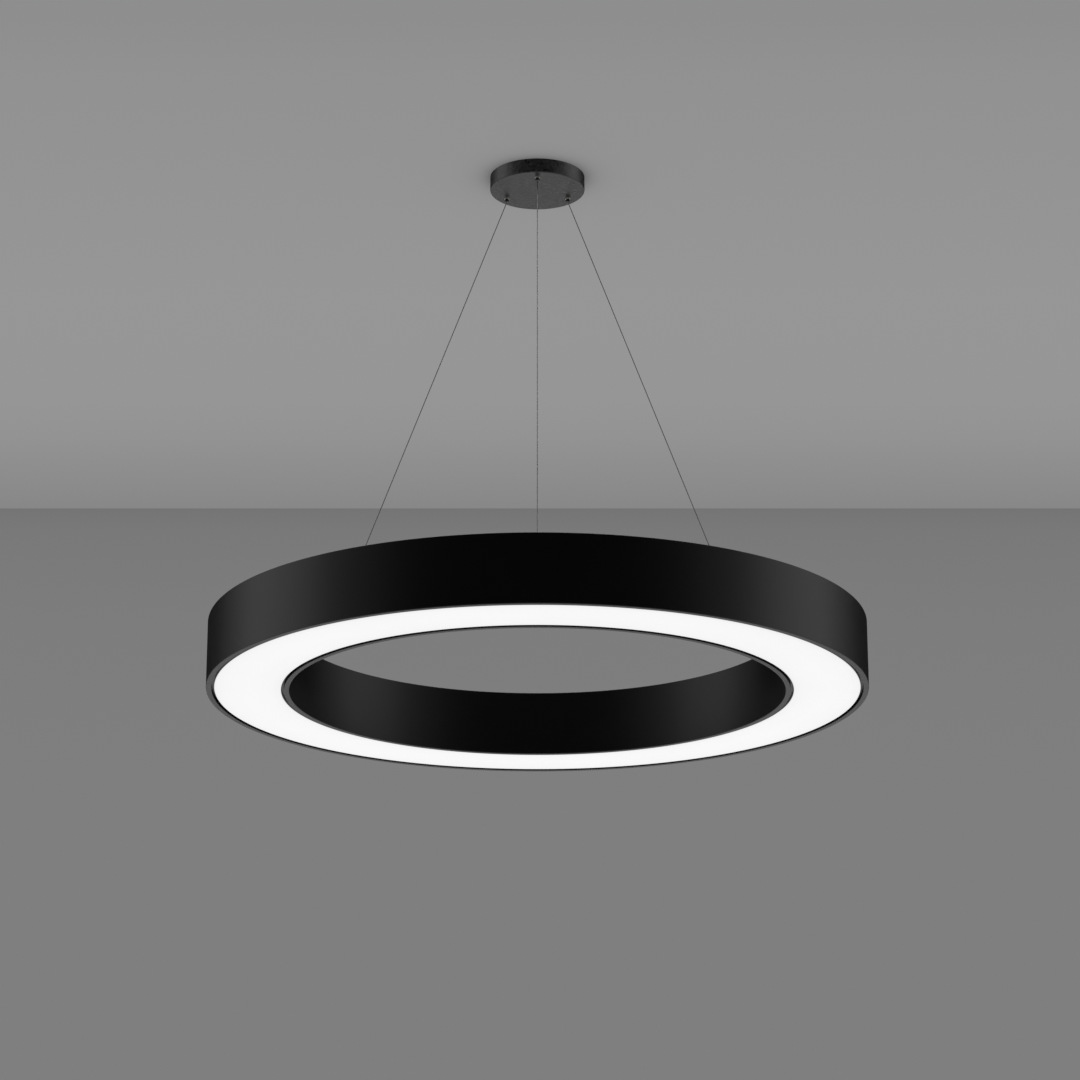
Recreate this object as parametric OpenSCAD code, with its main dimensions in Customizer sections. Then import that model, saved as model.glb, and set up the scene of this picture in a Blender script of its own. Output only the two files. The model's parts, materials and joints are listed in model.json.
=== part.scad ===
// Ring pendant light
// A hollow ring with a glowing underside hangs from a small round canopy by three steel wires.
// Millimetres. The origin is the centre of the ceiling face, +Z is up and -Y faces the viewer.

/* [Ring] */
// Outer diameter of the ring
ring_od = 800; // [700:10:1200]
// Width of the ring, from its outer wall to its inner wall
ring_w = 100; // [94:1:130]
// Height of the ring, from its lips to its top edge
ring_h = 82; // [78:1:110]
// Thickness of the walls of the two rolled bands
band_wall = 2; // [1.6:0.1:2.6]
// Radius on the outer edges of the bands
band_edge_r = 1; // [0.5:0.1:1.4]
// Width of the lip at the foot of each band
lip_w = 6.5; // [5:0.5:8]
// Thickness of the lips
lip_t = 2; // [1.5:0.1:3]
// Thickness of the ring's top cover
cover_t = 2; // [1.5:0.1:3]
// Thickness of the tray that carries the light boards
tray_t = 1.5; // [1:0.1:2.5]
// Height of the light chamber between the diffuser and the tray
chamber_h = 36; // [30:1:42]
// Number of screws along each edge of the top cover
cover_screw_count = 6; // [6:6:18]
// Number of screws along each edge of the tray
tray_screw_count = 6; // [6:6:18]

/* [Diffuser] */
// Shadow gap between each lip and the diffuser
shadow_gap = 3.5; // [2.5:0.5:5]
// Thickness of the opal sheet
diffuser_t = 3; // [2:0.5:4]
// Depth of the diffuser's face above the underside of the lips
diffuser_recess = 1; // [0:0.5:3]
// Height of the diffuser's upright rims above the sheet
rim_h = 10; // [9:0.5:14]
// Thickness of the diffuser's upright rims
rim_t = 2; // [1.5:0.5:3]
// Number of spring clips along each rim
clip_count = 12; // [6:3:18]
// Width of a spring clip
clip_w = 12; // [8:1:20]
// Thickness of the clip's spring steel
clip_t = 0.5; // [0.4:0.1:0.7]

/* [Suspension] */
// Height of the ceiling above the ring's top edge
drop = 600; // [400:10:1500]
// Distance of the wire grips from the canopy's edge
grip_inset = 15; // [12:0.5:20]
// Distance of the wire anchors from the ring's outer wall
anchor_inset = 80; // [30:1:82]
// Diameter of the suspension wires
wire_d = 1.2; // [1:0.1:1.5]
// Diameter of the ball on the end of each wire
wire_ball_d = 5; // [4:0.5:6]
// Diameter of a wire anchor's cup
anchor_d = 13; // [11:0.5:15]

/* [Canopy] */
// Diameter of the canopy
canopy_d = 120; // [116:1:140]
// Height of the canopy
canopy_h = 19; // [18:0.5:30]
// Wall thickness of the canopy's cover
canopy_wall = 1.5; // [1:0.1:2]
// Radius on the lower edge of the canopy's cover
canopy_edge_r = 1.5; // [0.5:0.1:3]
// Thickness of the ceiling plate
plate_t = 2; // [1.5:0.1:3]
// Diameter of the hole for the supply wires
supply_hole_d = 20; // [14:1:24]
// Distance between the two slots for the ceiling screws
slot_spacing = 70; // [60:1:74]
// Width of a slot for a ceiling screw
slot_w = 5; // [4:0.5:6]
// Length of a slot for a ceiling screw
slot_l = 10; // [8:0.5:12]

/* [Wire grip] */
// Diameter of the grip barrel's head inside the canopy
grip_head_d = 12; // [11:0.5:14]
// Height of the grip barrel's head
grip_head_h = 9.5; // [9:0.1:10]
// Diameter of the grip barrel's neck
grip_neck_d = 6.4; // [6:0.1:7]
// Length of the neck that shows below the canopy
grip_neck_l = 1.8; // [1:0.1:4]
// Travel of the plunger that frees the wire
plunger_travel = 1.2; // [1:0.1:1.4]
// Diameter of the plunger's button
button_d = 6; // [5:0.1:7]
// Height of the plunger's button
button_h = 2.3; // [1.5:0.1:4]
// Diameter of the balls that grip the wire
grip_ball_d = 2.2; // [2:0.1:2.3]

/* [Light and supply] */
// Number of light boards
board_count = 8; // [6:1:12]
// Width of a light board
board_w = 44; // [30:1:50]
// Thickness of a light board
board_t = 1.6; // [1:0.2:2]
// Length of a driver
driver_l = 200; // [150:5:240]
// Width of a driver
driver_w = 36; // [28:1:44]
// Height of a driver
driver_h = 22; // [18:1:24]
// Bore of the bush for the feed cord
inlet_bore_d = 7; // [5:0.5:9]
// Diameter of the leads inside the ring
lead_d = 5; // [3:0.5:6]

/* [Hidden] */

$fn = 96;
eps = 0.01;

// Clearances
fit = 0.1;
loose = 0.3;
thread_fit = 0.05;
shelf_gap = 0.5;
rim_gap = 1;

// Azimuths of the three wires and of what lies between them
wire_angles = [270, 30, 150];
driver_angles = [210, 330];
inlet_angle = 90;
terminal_angle = 80;
ring_earth_angle = 70;
tray_screw_start = 15;

// Radii of the ring
ring_r = ring_od / 2;
inner_r = ring_r - ring_w;
mid_r = (ring_r + inner_r) / 2;
diffuser_out_r = ring_r - lip_w - shadow_gap;
diffuser_in_r = inner_r + lip_w + shadow_gap;

// Shelf, clip groove and screw ports inside each band, measured inwards from its outer face
shelf_w = lip_w + shadow_gap + 3;
shelf_t = 1.5;
clip_rib_w = band_wall + 3;
clip_rib_t = 1;
port_h = 10;
port_depth = 8;
port_rib = 2;

// Screws
m3_r = 1.5;
m3_head_r = 2.75;
m4_r = 2;
m4_head_r = 3.2;
screw_sink = 0.1;
port_thread = 6;
port_x = band_wall + loose + m3_head_r + 0.6;
port_w = port_x + m3_r + thread_fit + port_rib;

// Heights of the ring
ring_top = -drop;
ring_bottom = ring_top - ring_h;
diffuser_face = ring_bottom + diffuser_recess;
diffuser_top = diffuser_face + diffuser_t;
shelf_z = diffuser_top + shelf_gap;
shelf_top = shelf_z + shelf_t;
tray_bottom = diffuser_top + chamber_h;
tray_top = tray_bottom + tray_t;
cover_bottom = ring_top - cover_t;

// Radii and heights of the canopy
canopy_r = canopy_d / 2;
canopy_bottom = -canopy_h;
canopy_floor = canopy_bottom + canopy_wall;
ear_out_r = canopy_r - canopy_wall - 0.2;
ear_t = 2;
ear_w = 16;
ear_l = 11;
ear_root = 8;
plate_rim = 4;
ear_screw_z = -plate_t - 6;
canopy_screw_l = 7;

// Heights inside a wire grip
grip_r = canopy_r - grip_inset;
ball_r = grip_ball_d / 2;
wire_r = wire_d / 2;
neck_end = canopy_bottom - grip_neck_l;
button_top = neck_end - plunger_travel - 0.2;
mouth_z = button_top - button_h;
head_top = canopy_floor + grip_head_h;
stem_r = 2;
cage_r = 2.35;
cage_bottom = canopy_floor + 0.6;
ball_z = canopy_floor + 3;
cage_top = ball_z + ball_r + 0.6;
cone_angle = 12;
cone_r = wire_r + ball_r + (ball_r + thread_fit) / cos(cone_angle);
chamber_r = 3.6;
cone_top = ball_z + (chamber_r - cone_r) / tan(cone_angle);
cap_t = 1.5;
cap_r = 4.6;
cap_bottom = head_top - cap_t;
spring_t = 0.5;
wire_hole_r = wire_r + loose;
stop_r = 1.6;
stop_h = 3.2;

// Wire line, from the grip's mouth to the ball in the anchor
anchor_r = ring_r - anchor_inset;
wire_ball_r = wire_ball_d / 2;
anchor_ball_z = ring_top + anchor_d / 2;
wire_run = anchor_r - grip_r;
wire_fall = mouth_z - anchor_ball_z;
wire_lean = atan(wire_run / wire_fall);
wire_span = sqrt(wire_run * wire_run + wire_fall * wire_fall);
stud_r = 3;
stud_l = 12;
spreader_t = 3;
spreader_w = 40;
spreader_z = cover_bottom - spreader_t - thread_fit;
nut_flat = 10;
nut_h = 5;

// Bush for the feed cord
bush_r = inlet_bore_d / 2 + 2.5;
bush_flange = 3;
bush_rise = 4;
bush_drop = 8;
bush_nut_h = 4;

// Light boards and their connectors
board_gap = 3;
board_screws_each = 3;
board_span = 360 / board_count - board_gap / mid_r * 180 / PI;
connector_size = [8, 12, 3];

// Terminal blocks, placed in the canopy and on the tray
pole_count = 3;
pole_pitch = 8;
pole_depth = 16;
pole_w = 6.8;
pole_base_t = 4;
pole_height = 12;
contact_z = 7;
contact_r = 2.35;
contact_bore_r = 1.6;
contact_screw_y = 4;
contact_screw_r = 1.5;
contact_screw_l = 3.8;
contact_well_r = 1.9;
contact_setback = 1.5;
block_rim = 1;
terminal_place = [0, supply_hole_d / 2 + 3 + pole_depth / 2, -plate_t];
earth_place = [-22, -20, -plate_t];
tag_t = 0.8;
tag_r = 4;
tag_l = 11;

// Drivers on the tray: a core, an open compartment with a cover at each end, and feet
case_lift = 2.5;
case_t = 1.2;
driver_end_l = 24;
foot_l = 9;
foot_t = 4;
core_l = driver_l - 2 * (foot_l + driver_end_l);
end_y = driver_l / 2 - foot_l;
entry_x = driver_w / 2 - 10;
entry_slack = 0.5;

// Leads run around the ring at the height of the contacts
led_lead_d = 3;
grommet_wall = 1;
led_bend_r = 4;
led_lead_span = 3;
lead_reach = 2;
mains_r = sqrt(pow(mid_r + entry_x, 2) + pow(end_y, 2));
mains_offset = atan((end_y - lead_reach) / (mid_r + entry_x));
led_lead_r = sqrt(pow(mid_r - entry_x, 2) + pow(end_y, 2));
led_lead_offset = atan((end_y - lead_reach) / (mid_r - entry_x));
terminal_r = mains_r - pole_pitch;

// Beads on the diffuser's rims, and the clips that hold them
bead = 0.6;
bead_h = 2;
clip_foot = 3;
clip_bow = 2;
clip_lead_in = 3;

module at_wires() {
  for (a = wire_angles) rotate([0, 0, a]) children();
}

module around(count, radius, start = 0) {
  for (i = [0 : count - 1]) rotate([0, 0, start + i * 360 / count]) translate([radius, 0, 0]) children();
}

// A piece of ring between two angles, from a profile whose x is the radius
module arc_piece(angle, span) {
  rotate([0, 0, angle - span / 2]) rotate_extrude(angle = span, $fn = 180) children();
}

module tube(outer_r, inner_r, height) {
  difference() {
    cylinder(r = outer_r, h = height);
    translate([0, 0, -eps]) cylinder(r = inner_r, h = height + 2 * eps);
  }
}

module rounded_plate(size, corner_r) {
  dx = size[0] / 2 - corner_r;
  dy = size[1] / 2 - corner_r;
  square([size[0], 2 * dy], center = true);
  square([2 * dx, size[1]], center = true);
  for (x = [-dx, dx], y = [-dy, dy]) translate([x, y]) circle(corner_r);
}

// What is cut from a square corner to round it; the corner is at the origin and lies to its upper right
module corner_cut(radius) {
  difference() {
    translate([-eps, -eps]) square(radius + eps);
    translate([radius, radius]) circle(radius);
  }
}

// A pan-head screw, its head's seat at the origin and its shank downwards
module pan_screw(shank_r, length) {
  head_r = 1.85 * shank_r;
  head_h = 1.2 * shank_r;
  translate([0, 0, -length]) cylinder(r = shank_r, h = length);
  difference() {
    cylinder(r = head_r, h = head_h);
    for (a = [0, 90]) rotate([0, 0, a])
      translate([-0.9 * shank_r, -0.2 * shank_r, head_h * 0.55]) cube([1.8 * shank_r, 0.4 * shank_r, head_h]);
  }
}

// A countersunk screw, its flat face at the origin and its shank downwards
module flat_screw(shank_r, head_r, length) {
  difference() {
    union() {
      translate([0, 0, -length]) cylinder(r = shank_r, h = length);
      translate([0, 0, shank_r - head_r]) cylinder(r1 = shank_r, r2 = head_r, h = head_r - shank_r);
    }
    translate([0, 0, -0.8 * shank_r]) cylinder(r = 0.62 * shank_r, h = shank_r, $fn = 6);
  }
}

// A countersunk hole in a face at the origin, for a screw whose own face lies below it by screw_sink
module flat_screw_hole(shank_r, head_r, depth) {
  seat_h = head_r - shank_r + 2 * screw_sink;
  translate([0, 0, -depth]) cylinder(r = shank_r + fit, h = depth + eps);
  translate([0, 0, screw_sink - seat_h])
    cylinder(r1 = shank_r + fit, r2 = shank_r + fit + seat_h, h = seat_h);
}

module hex_nut(flat, bore_r, height) {
  difference() {
    cylinder(d = flat / cos(30), h = height, $fn = 6);
    translate([0, 0, -eps]) cylinder(r = bore_r, h = height + 2 * eps);
  }
}

// Terminal block with its back at z = 0
module terminal_body() {
  difference() {
    union() {
      translate([-pole_count * pole_pitch / 2 - block_rim, -pole_depth / 2, 0])
        cube([pole_count * pole_pitch + 2 * block_rim, pole_depth, pole_base_t]);
      at_poles() translate([-pole_w / 2, -pole_depth / 2, pole_base_t - eps])
        cube([pole_w, pole_depth, pole_height - pole_base_t + eps]);
    }
    at_poles() translate([0, 0, contact_z]) {
      rotate([90, 0, 0]) cylinder(r = contact_r + thread_fit, h = pole_depth + 1, center = true);
      for (s = [-1, 1]) translate([0, s * contact_screw_y, 0]) cylinder(r = contact_well_r, h = pole_height);
    }
  }
}

// Brass sleeves of a terminal block, each with its two screws
module terminal_contacts() {
  at_poles() translate([0, 0, contact_z]) {
    difference() {
      rotate([90, 0, 0]) cylinder(r = contact_r, h = pole_depth - 2 * contact_setback, center = true);
      rotate([90, 0, 0]) cylinder(r = contact_bore_r, h = pole_depth, center = true);
      for (s = [-1, 1]) translate([0, s * contact_screw_y, 0]) cylinder(r = contact_screw_r, h = 5);
    }
    for (s = [-1, 1]) translate([0, s * contact_screw_y, 0.6]) difference() {
      cylinder(r = contact_screw_r - thread_fit, h = contact_screw_l);
      translate([-2, -0.25, 3]) cube([4, 0.5, 2]);
    }
  }
}

module at_poles() {
  for (i = [0 : pole_count - 1]) translate([(i - (pole_count - 1) / 2) * pole_pitch, 0, 0]) children();
}

// An earthing point: a ring tag under a pan-head screw, on a sheet whose face is at z = 0
module earth_point(sheet_t) {
  translate([0, 0, tag_t + thread_fit]) pan_screw(m4_r, tag_t + sheet_t - 0.2);
  difference() {
    linear_extrude(tag_t) {
      circle(r = tag_r);
      translate([0, -tag_r / 3]) square([tag_l, tag_r * 2 / 3]);
    }
    translate([0, 0, -1]) cylinder(r = m4_r + fit, h = tag_t + 2);
  }
}

// Canopy

module ceiling_plate() {
  color("gainsboro") difference() {
    union() {
      translate([0, 0, -plate_t]) cylinder(r = ear_out_r - plate_rim, h = plate_t);
      for (a = [0, 180]) arc_piece(a, ear_w / ear_out_r * 180 / PI) {
        translate([ear_out_r - ear_root, -plate_t]) square([ear_root, plate_t]);
        translate([ear_out_r - ear_t, -plate_t - ear_l]) square([ear_t, ear_l + eps]);
      }
    }
    translate([0, 0, -plate_t - 1]) cylinder(d = supply_hole_d, h = plate_t + 2);
    for (s = [-1, 1]) translate([s * slot_spacing / 2, 0, -plate_t - 1]) linear_extrude(plate_t + 2) {
      square([slot_l - slot_w, slot_w], center = true);
      for (e = [-1, 1]) translate([e * (slot_l - slot_w) / 2, 0]) circle(d = slot_w);
    }
    for (a = [0, 180]) rotate([0, 0, a]) translate([ear_out_r - 5, 0, ear_screw_z])
      rotate([0, 90, 0]) cylinder(r = m4_r + thread_fit, h = 8);
    translate(earth_place) translate([0, 0, -1]) cylinder(r = m4_r + thread_fit, h = plate_t + 2);
  }
}

module canopy_cover() {
  color("dimgray") difference() {
    rotate_extrude() difference() {
      translate([0, canopy_bottom]) square([canopy_r, canopy_h]);
      translate([-1, canopy_floor]) square([canopy_r - canopy_wall + 1, canopy_h]);
      translate([canopy_r, canopy_bottom]) mirror([1, 0]) corner_cut(canopy_edge_r);
    }
    at_wires() translate([grip_r, 0, canopy_bottom - 1])
      cylinder(r = grip_neck_d / 2 + fit / 2, h = canopy_wall + 2);
    for (a = [0, 180]) rotate([0, 0, a]) translate([canopy_r, 0, ear_screw_z])
      rotate([0, 90, 0]) flat_screw_hole(m4_r, m4_head_r, canopy_wall + 2);
  }
}

module canopy_screws() {
  color("black") for (a = [0, 180]) rotate([0, 0, a]) translate([canopy_r - screw_sink, 0, ear_screw_z])
    rotate([0, 90, 0]) flat_screw(m4_r, m4_head_r, canopy_screw_l);
}

module canopy_terminal() {
  color("ivory") translate(terminal_place) mirror([0, 0, 1]) terminal_body();
}

module canopy_contacts() {
  color("goldenrod") translate(terminal_place) mirror([0, 0, 1]) terminal_contacts();
}

module earth_tag() {
  color("gold") translate(earth_place) mirror([0, 0, 1]) earth_point(plate_t);
}

// Wire grips

module grip_barrels() {
  color("silver") at_wires() translate([grip_r, 0, 0]) rotate_extrude() difference() {
    union() {
      translate([0, canopy_floor]) square([grip_head_d / 2, grip_head_h]);
      translate([0, neck_end]) square([grip_neck_d / 2, canopy_floor - neck_end + eps]);
    }
    translate([-1, neck_end - 1]) square([stem_r + fit + 1, cage_bottom - neck_end + 1 - 0.2]);
    polygon([
      [-1, cage_bottom - 0.25],
      [cage_r + fit, cage_bottom - 0.25],
      [cage_r + fit, ball_z - (cone_r - cage_r - fit) / tan(cone_angle)],
      [chamber_r, cone_top],
      [chamber_r, cap_bottom],
      [cap_r, cap_bottom],
      [cap_r, head_top + 1],
      [-1, head_top + 1]
    ]);
  }
}

module grip_caps() {
  color("silver") at_wires() translate([grip_r, 0, cap_bottom]) difference() {
    cylinder(r = cap_r - thread_fit, h = cap_t);
    translate([0, 0, -1]) cylinder(r = wire_hole_r, h = cap_t + 2);
    for (s = [-1, 1]) translate([s * 3, 0, cap_t - 0.8]) cylinder(r = 0.5, h = 1);
  }
}

// The plunger is a button, a stem through the neck and a cage that holds the balls
module grip_plunger(i) {
  color("lightsteelblue") rotate([0, 0, wire_angles[i]]) translate([grip_r, 0, 0]) difference() {
    rotate_extrude() difference() {
      union() {
        translate([0, mouth_z]) square([button_d / 2, button_h]);
        translate([0, mouth_z]) square([stem_r, cage_bottom - mouth_z + eps]);
        translate([0, cage_bottom]) square([cage_r, cage_top - cage_bottom]);
      }
      translate([-1, mouth_z - 1]) square([wire_hole_r + 1, cage_top - mouth_z + 2]);
      translate([button_d / 2, mouth_z]) mirror([1, 0]) corner_cut(0.5);
    }
    for (a = [0, 120, 240]) rotate([0, 0, a]) translate([0, 0, ball_z])
      rotate([0, 90, 0]) cylinder(r = ball_r + thread_fit, h = 5);
  }
}

module grip_balls(i) {
  color("white") rotate([0, 0, wire_angles[i]]) translate([grip_r, 0, ball_z])
    around(3, wire_r + thread_fit / 2 + ball_r) sphere(r = ball_r);
}

module grip_spring(i) {
  color("gray") rotate([0, 0, wire_angles[i]]) translate([grip_r, 0, cage_top + fit])
    tube(cage_r, cage_r - spring_t, cap_bottom - cage_top - 2 * fit);
}

// Wires

module wire_upper_ends() {
  color("gray") at_wires() translate([grip_r, 0, mouth_z]) {
    cylinder(r = wire_r, h = head_top + stop_h - mouth_z);
    sphere(r = wire_r);
  }
}

module wire_stops() {
  color("silver") at_wires() translate([grip_r, 0, head_top]) tube(stop_r, wire_r + eps, stop_h);
}

module suspension_wire(i) {
  color("gray") rotate([0, 0, wire_angles[i]]) translate([grip_r, 0, mouth_z])
    rotate([0, 180 - wire_lean, 0]) translate([0, 0, wire_r])
      cylinder(r = wire_r, h = wire_span - wire_r - wire_ball_r - fit);
}

module wire_ball_ends() {
  color("silver") at_wires() translate([anchor_r, 0, anchor_ball_z]) sphere(r = wire_ball_r);
}

// The cup is open outwards for the ball and slotted inwards for the wire
module wire_anchors() {
  cup_r = anchor_d / 2;
  cavity_r = wire_ball_r + loose;
  color("silver") at_wires() translate([anchor_r, 0, anchor_ball_z]) difference() {
    union() {
      rotate_extrude() intersection() {
        union() {
          circle(r = cup_r);
          translate([0, -cup_r]) square([cup_r, cup_r]);
        }
        translate([0, -cup_r]) square([cup_r, 2 * cup_r]);
      }
      translate([0, 0, -cup_r - stud_l]) cylinder(r = stud_r, h = stud_l + eps);
    }
    sphere(r = cavity_r);
    rotate([0, 90, 0]) cylinder(r = cavity_r, h = anchor_d);
    translate([-anchor_d, -wire_r - loose, 1])
      cube([anchor_d + wire_r + loose, wire_d + 2 * loose, anchor_d]);
  }
}

// Ring

// Section of a rolled band; x runs inwards from its outer face and y is the height
module band_profile() {
  difference() {
    union() {
      translate([0, ring_bottom]) square([band_wall, ring_h]);
      translate([0, ring_bottom]) square([lip_w, lip_t]);
      translate([0, shelf_z]) square([shelf_w, shelf_t]);
      translate([0, shelf_top + clip_t + 2 * fit]) square([clip_rib_w, clip_rib_t]);
      translate([0, tray_top]) square([port_w, port_h]);
      translate([0, cover_bottom - port_h]) square([port_w, port_h]);
    }
    translate([port_x - m3_r - thread_fit, tray_top - eps]) square([2 * (m3_r + thread_fit), port_depth]);
    translate([port_x - m3_r - thread_fit, cover_bottom - port_depth])
      square([2 * (m3_r + thread_fit), port_depth + eps]);
    translate([0, ring_bottom]) corner_cut(band_edge_r);
    translate([0, ring_top]) mirror([0, 1]) corner_cut(band_edge_r);
  }
}

module outer_band() {
  color("dimgray") rotate_extrude($fn = 180) translate([ring_r, 0]) mirror([1, 0]) band_profile();
}

module inner_band() {
  color("slategray") rotate_extrude($fn = 180) translate([inner_r, 0]) band_profile();
}

module at_ports(count, start) {
  around(count, ring_r - port_x, start) children();
  around(count, inner_r + port_x, start) children();
}

module top_cover() {
  color("gray") difference() {
    translate([0, 0, cover_bottom]) difference() {
      cylinder(r = ring_r - band_wall - loose, h = cover_t, $fn = 180);
      translate([0, 0, -1]) cylinder(r = inner_r + band_wall + loose, h = cover_t + 2, $fn = 180);
    }
    at_ports(cover_screw_count, 0) translate([0, 0, ring_top]) flat_screw_hole(m3_r, m3_head_r, cover_t + 1);
    at_wires() translate([anchor_r, 0, cover_bottom - 1]) cylinder(r = stud_r + fit, h = cover_t + 2);
    rotate([0, 0, inlet_angle]) translate([mid_r, 0, cover_bottom - 1])
      cylinder(r = bush_r + fit, h = cover_t + 2);
  }
}

module cover_screws() {
  color("black") at_ports(cover_screw_count, 0) translate([0, 0, ring_top - screw_sink])
    flat_screw(m3_r, m3_head_r, cover_t + port_thread);
}

// Plates that follow the curve of the ports on both sides
module spreader_plates() {
  color("lightgray") at_wires() difference() {
    arc_piece(0, spreader_w / mid_r * 180 / PI) translate([inner_r + port_w + loose, spreader_z])
      square([ring_w - 2 * (port_w + loose), spreader_t]);
    translate([anchor_r, 0, spreader_z - 1]) cylinder(r = stud_r + fit, h = spreader_t + 2);
  }
}

module anchor_nuts() {
  color("silver") at_wires() translate([anchor_r, 0, spreader_z - nut_h - thread_fit])
    hex_nut(nut_flat, stud_r + thread_fit, nut_h);
}

module inlet_bush() {
  color("black") rotate([0, 0, inlet_angle]) translate([mid_r, 0, 0]) rotate_extrude() difference() {
    union() {
      translate([0, cover_bottom - bush_drop]) square([bush_r, bush_drop + cover_t + eps]);
      translate([0, ring_top]) square([bush_r + bush_flange, bush_rise]);
    }
    translate([-1, cover_bottom - bush_drop - 1])
      square([inlet_bore_d / 2 + 1, bush_drop + cover_t + bush_rise + 2]);
    translate([bush_r + bush_flange, ring_top + bush_rise]) mirror([1, 0]) mirror([0, 1]) corner_cut(1.5);
  }
}

module inlet_nut() {
  color("dimgray") rotate([0, 0, inlet_angle]) translate([mid_r, 0, cover_bottom - bush_nut_h])
    hex_nut(2 * bush_r + 5, bush_r + thread_fit, bush_nut_h);
}

module led_tray() {
  color("white") difference() {
    translate([0, 0, tray_bottom]) difference() {
      cylinder(r = ring_r - band_wall - loose, h = tray_t, $fn = 180);
      translate([0, 0, -1]) cylinder(r = inner_r + band_wall + loose, h = tray_t + 2, $fn = 180);
    }
    at_ports(tray_screw_count, tray_screw_start) translate([0, 0, tray_bottom - 1])
      cylinder(r = m3_r + fit, h = tray_t + 2);
    at_board_screws() translate([0, 0, tray_bottom - 1]) cylinder(r = m3_r + thread_fit, h = tray_t + 2);
    at_driver_screws() translate([0, 0, -tray_t - 1]) cylinder(r = m3_r + thread_fit, h = tray_t + 2);
    at_grommets() translate([0, 0, tray_bottom - 1])
      cylinder(r = led_lead_d / 2 + grommet_wall + fit, h = tray_t + 2);
    rotate([0, 0, ring_earth_angle]) translate([mid_r, 0, tray_bottom - 1])
      cylinder(r = m4_r + thread_fit, h = tray_t + 2);
  }
}

module tray_screws() {
  color("silver") at_ports(tray_screw_count, tray_screw_start) translate([0, 0, tray_bottom])
    mirror([0, 0, 1]) pan_screw(m3_r, tray_t + port_thread);
}

module led_boards() {
  color("aliceblue") difference() {
    for (i = [0 : board_count - 1]) arc_piece((i + 0.5) * 360 / board_count, board_span)
      translate([mid_r - board_w / 2, tray_bottom - board_t]) square([board_w, board_t]);
    at_board_screws() translate([0, 0, tray_bottom - board_t - 1]) cylinder(r = m3_r + fit, h = board_t + 2);
  }
}

module at_board_screws() {
  for (i = [0 : board_count - 1], k = [0 : board_screws_each - 1])
    rotate([0, 0, (i + (k + 0.5) / board_screws_each) * 360 / board_count])
      translate([mid_r, 0, 0]) children();
}

module board_screws() {
  color("silver") at_board_screws() translate([0, 0, tray_bottom - board_t])
    mirror([0, 0, 1]) pan_screw(m3_r, board_t + tray_t + 1);
}

module board_connectors() {
  color("ivory") around(board_count, mid_r) translate([-connector_size[0] / 2, -connector_size[1] / 2,
    tray_bottom - board_t - connector_size[2]]) cube(connector_size);
}

// Drivers; x runs outwards across a driver, y along it and z up from the tray

module at_drivers() {
  for (a = driver_angles) rotate([0, 0, a]) translate([mid_r, 0, tray_top]) children();
}

module at_driver_screws() {
  at_drivers() for (s = [-1, 1]) translate([0, s * (driver_l - foot_l) / 2, 0]) children();
}

// Both ends of a driver, each with y running outwards from the end of its core
module at_driver_ends() {
  for (m = [0, 1]) mirror([0, m, 0]) translate([0, core_l / 2, 0]) children();
}

module lead_entries() {
  for (s = [-1, 1]) translate([s * entry_x, driver_end_l - case_t - 1, contact_z])
    rotate([-90, 0, 0]) cylinder(r = lead_d / 2 + entry_slack, h = case_t + 2);
}

module driver_cases() {
  floor_z = case_lift + case_t;
  color("whitesmoke") at_drivers() {
    difference() {
      union() {
        translate([0, 0, case_lift]) linear_extrude(driver_h) rounded_plate([driver_w, core_l], 2);
        at_driver_ends() {
          translate([-driver_w / 2, -3, case_lift]) cube([driver_w, driver_end_l + 3, contact_z - case_lift]);
          translate([-driver_w / 2, driver_end_l - eps, 0]) cube([driver_w, foot_l + eps, foot_t]);
        }
      }
      at_driver_ends() {
        translate([-driver_w / 2 + case_t, case_t, floor_z])
          cube([driver_w - 2 * case_t, driver_end_l - 2 * case_t, driver_h]);
        lead_entries();
        translate([0, driver_end_l + foot_l / 2, -1]) cylinder(r = m3_r + fit, h = foot_t + 2);
      }
    }
  }
}

// A hood over each end of a driver
module driver_covers() {
  hood_h = case_lift + driver_h - contact_z;
  color("lightgray") at_drivers() at_driver_ends() difference() {
    translate([-driver_w / 2, fit, contact_z]) cube([driver_w, driver_end_l - fit, hood_h]);
    translate([-driver_w / 2 + case_t, fit + case_t, contact_z - 1])
      cube([driver_w - 2 * case_t, driver_end_l - fit - 2 * case_t, hood_h - case_t + 1]);
    lead_entries();
  }
}

module driver_screws() {
  color("silver") at_driver_screws() translate([0, 0, foot_t]) pan_screw(m3_r, foot_t + tray_t - 0.2);
}

module ring_terminal() {
  color("ivory") rotate([0, 0, terminal_angle]) translate([terminal_r, 0, tray_top]) terminal_body();
}

module ring_contacts() {
  color("goldenrod") rotate([0, 0, terminal_angle]) translate([terminal_r, 0, tray_top]) terminal_contacts();
}

module earth_stud() {
  color("gold") rotate([0, 0, ring_earth_angle]) translate([mid_r, 0, tray_top]) earth_point(tray_t);
}

// Where the leads of the boards pass through the tray
module at_grommets() {
  for (a = driver_angles) rotate([0, 0, a - led_lead_offset - led_lead_span])
    translate([led_lead_r, -led_bend_r, 0]) children();
}

module tray_grommets() {
  color("black") at_grommets() translate([0, 0, tray_bottom])
    tube(led_lead_d / 2 + grommet_wall, led_lead_d / 2 + fit, tray_t + 1);
}

// A lead that runs around the ring from one angle to a larger one
module lead_arc(from, to, radius, d) {
  rotate([0, 0, from]) rotate_extrude(angle = to - from, $fn = 180)
    translate([radius, tray_top + contact_z]) circle(d = d, $fn = 48);
}

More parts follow.
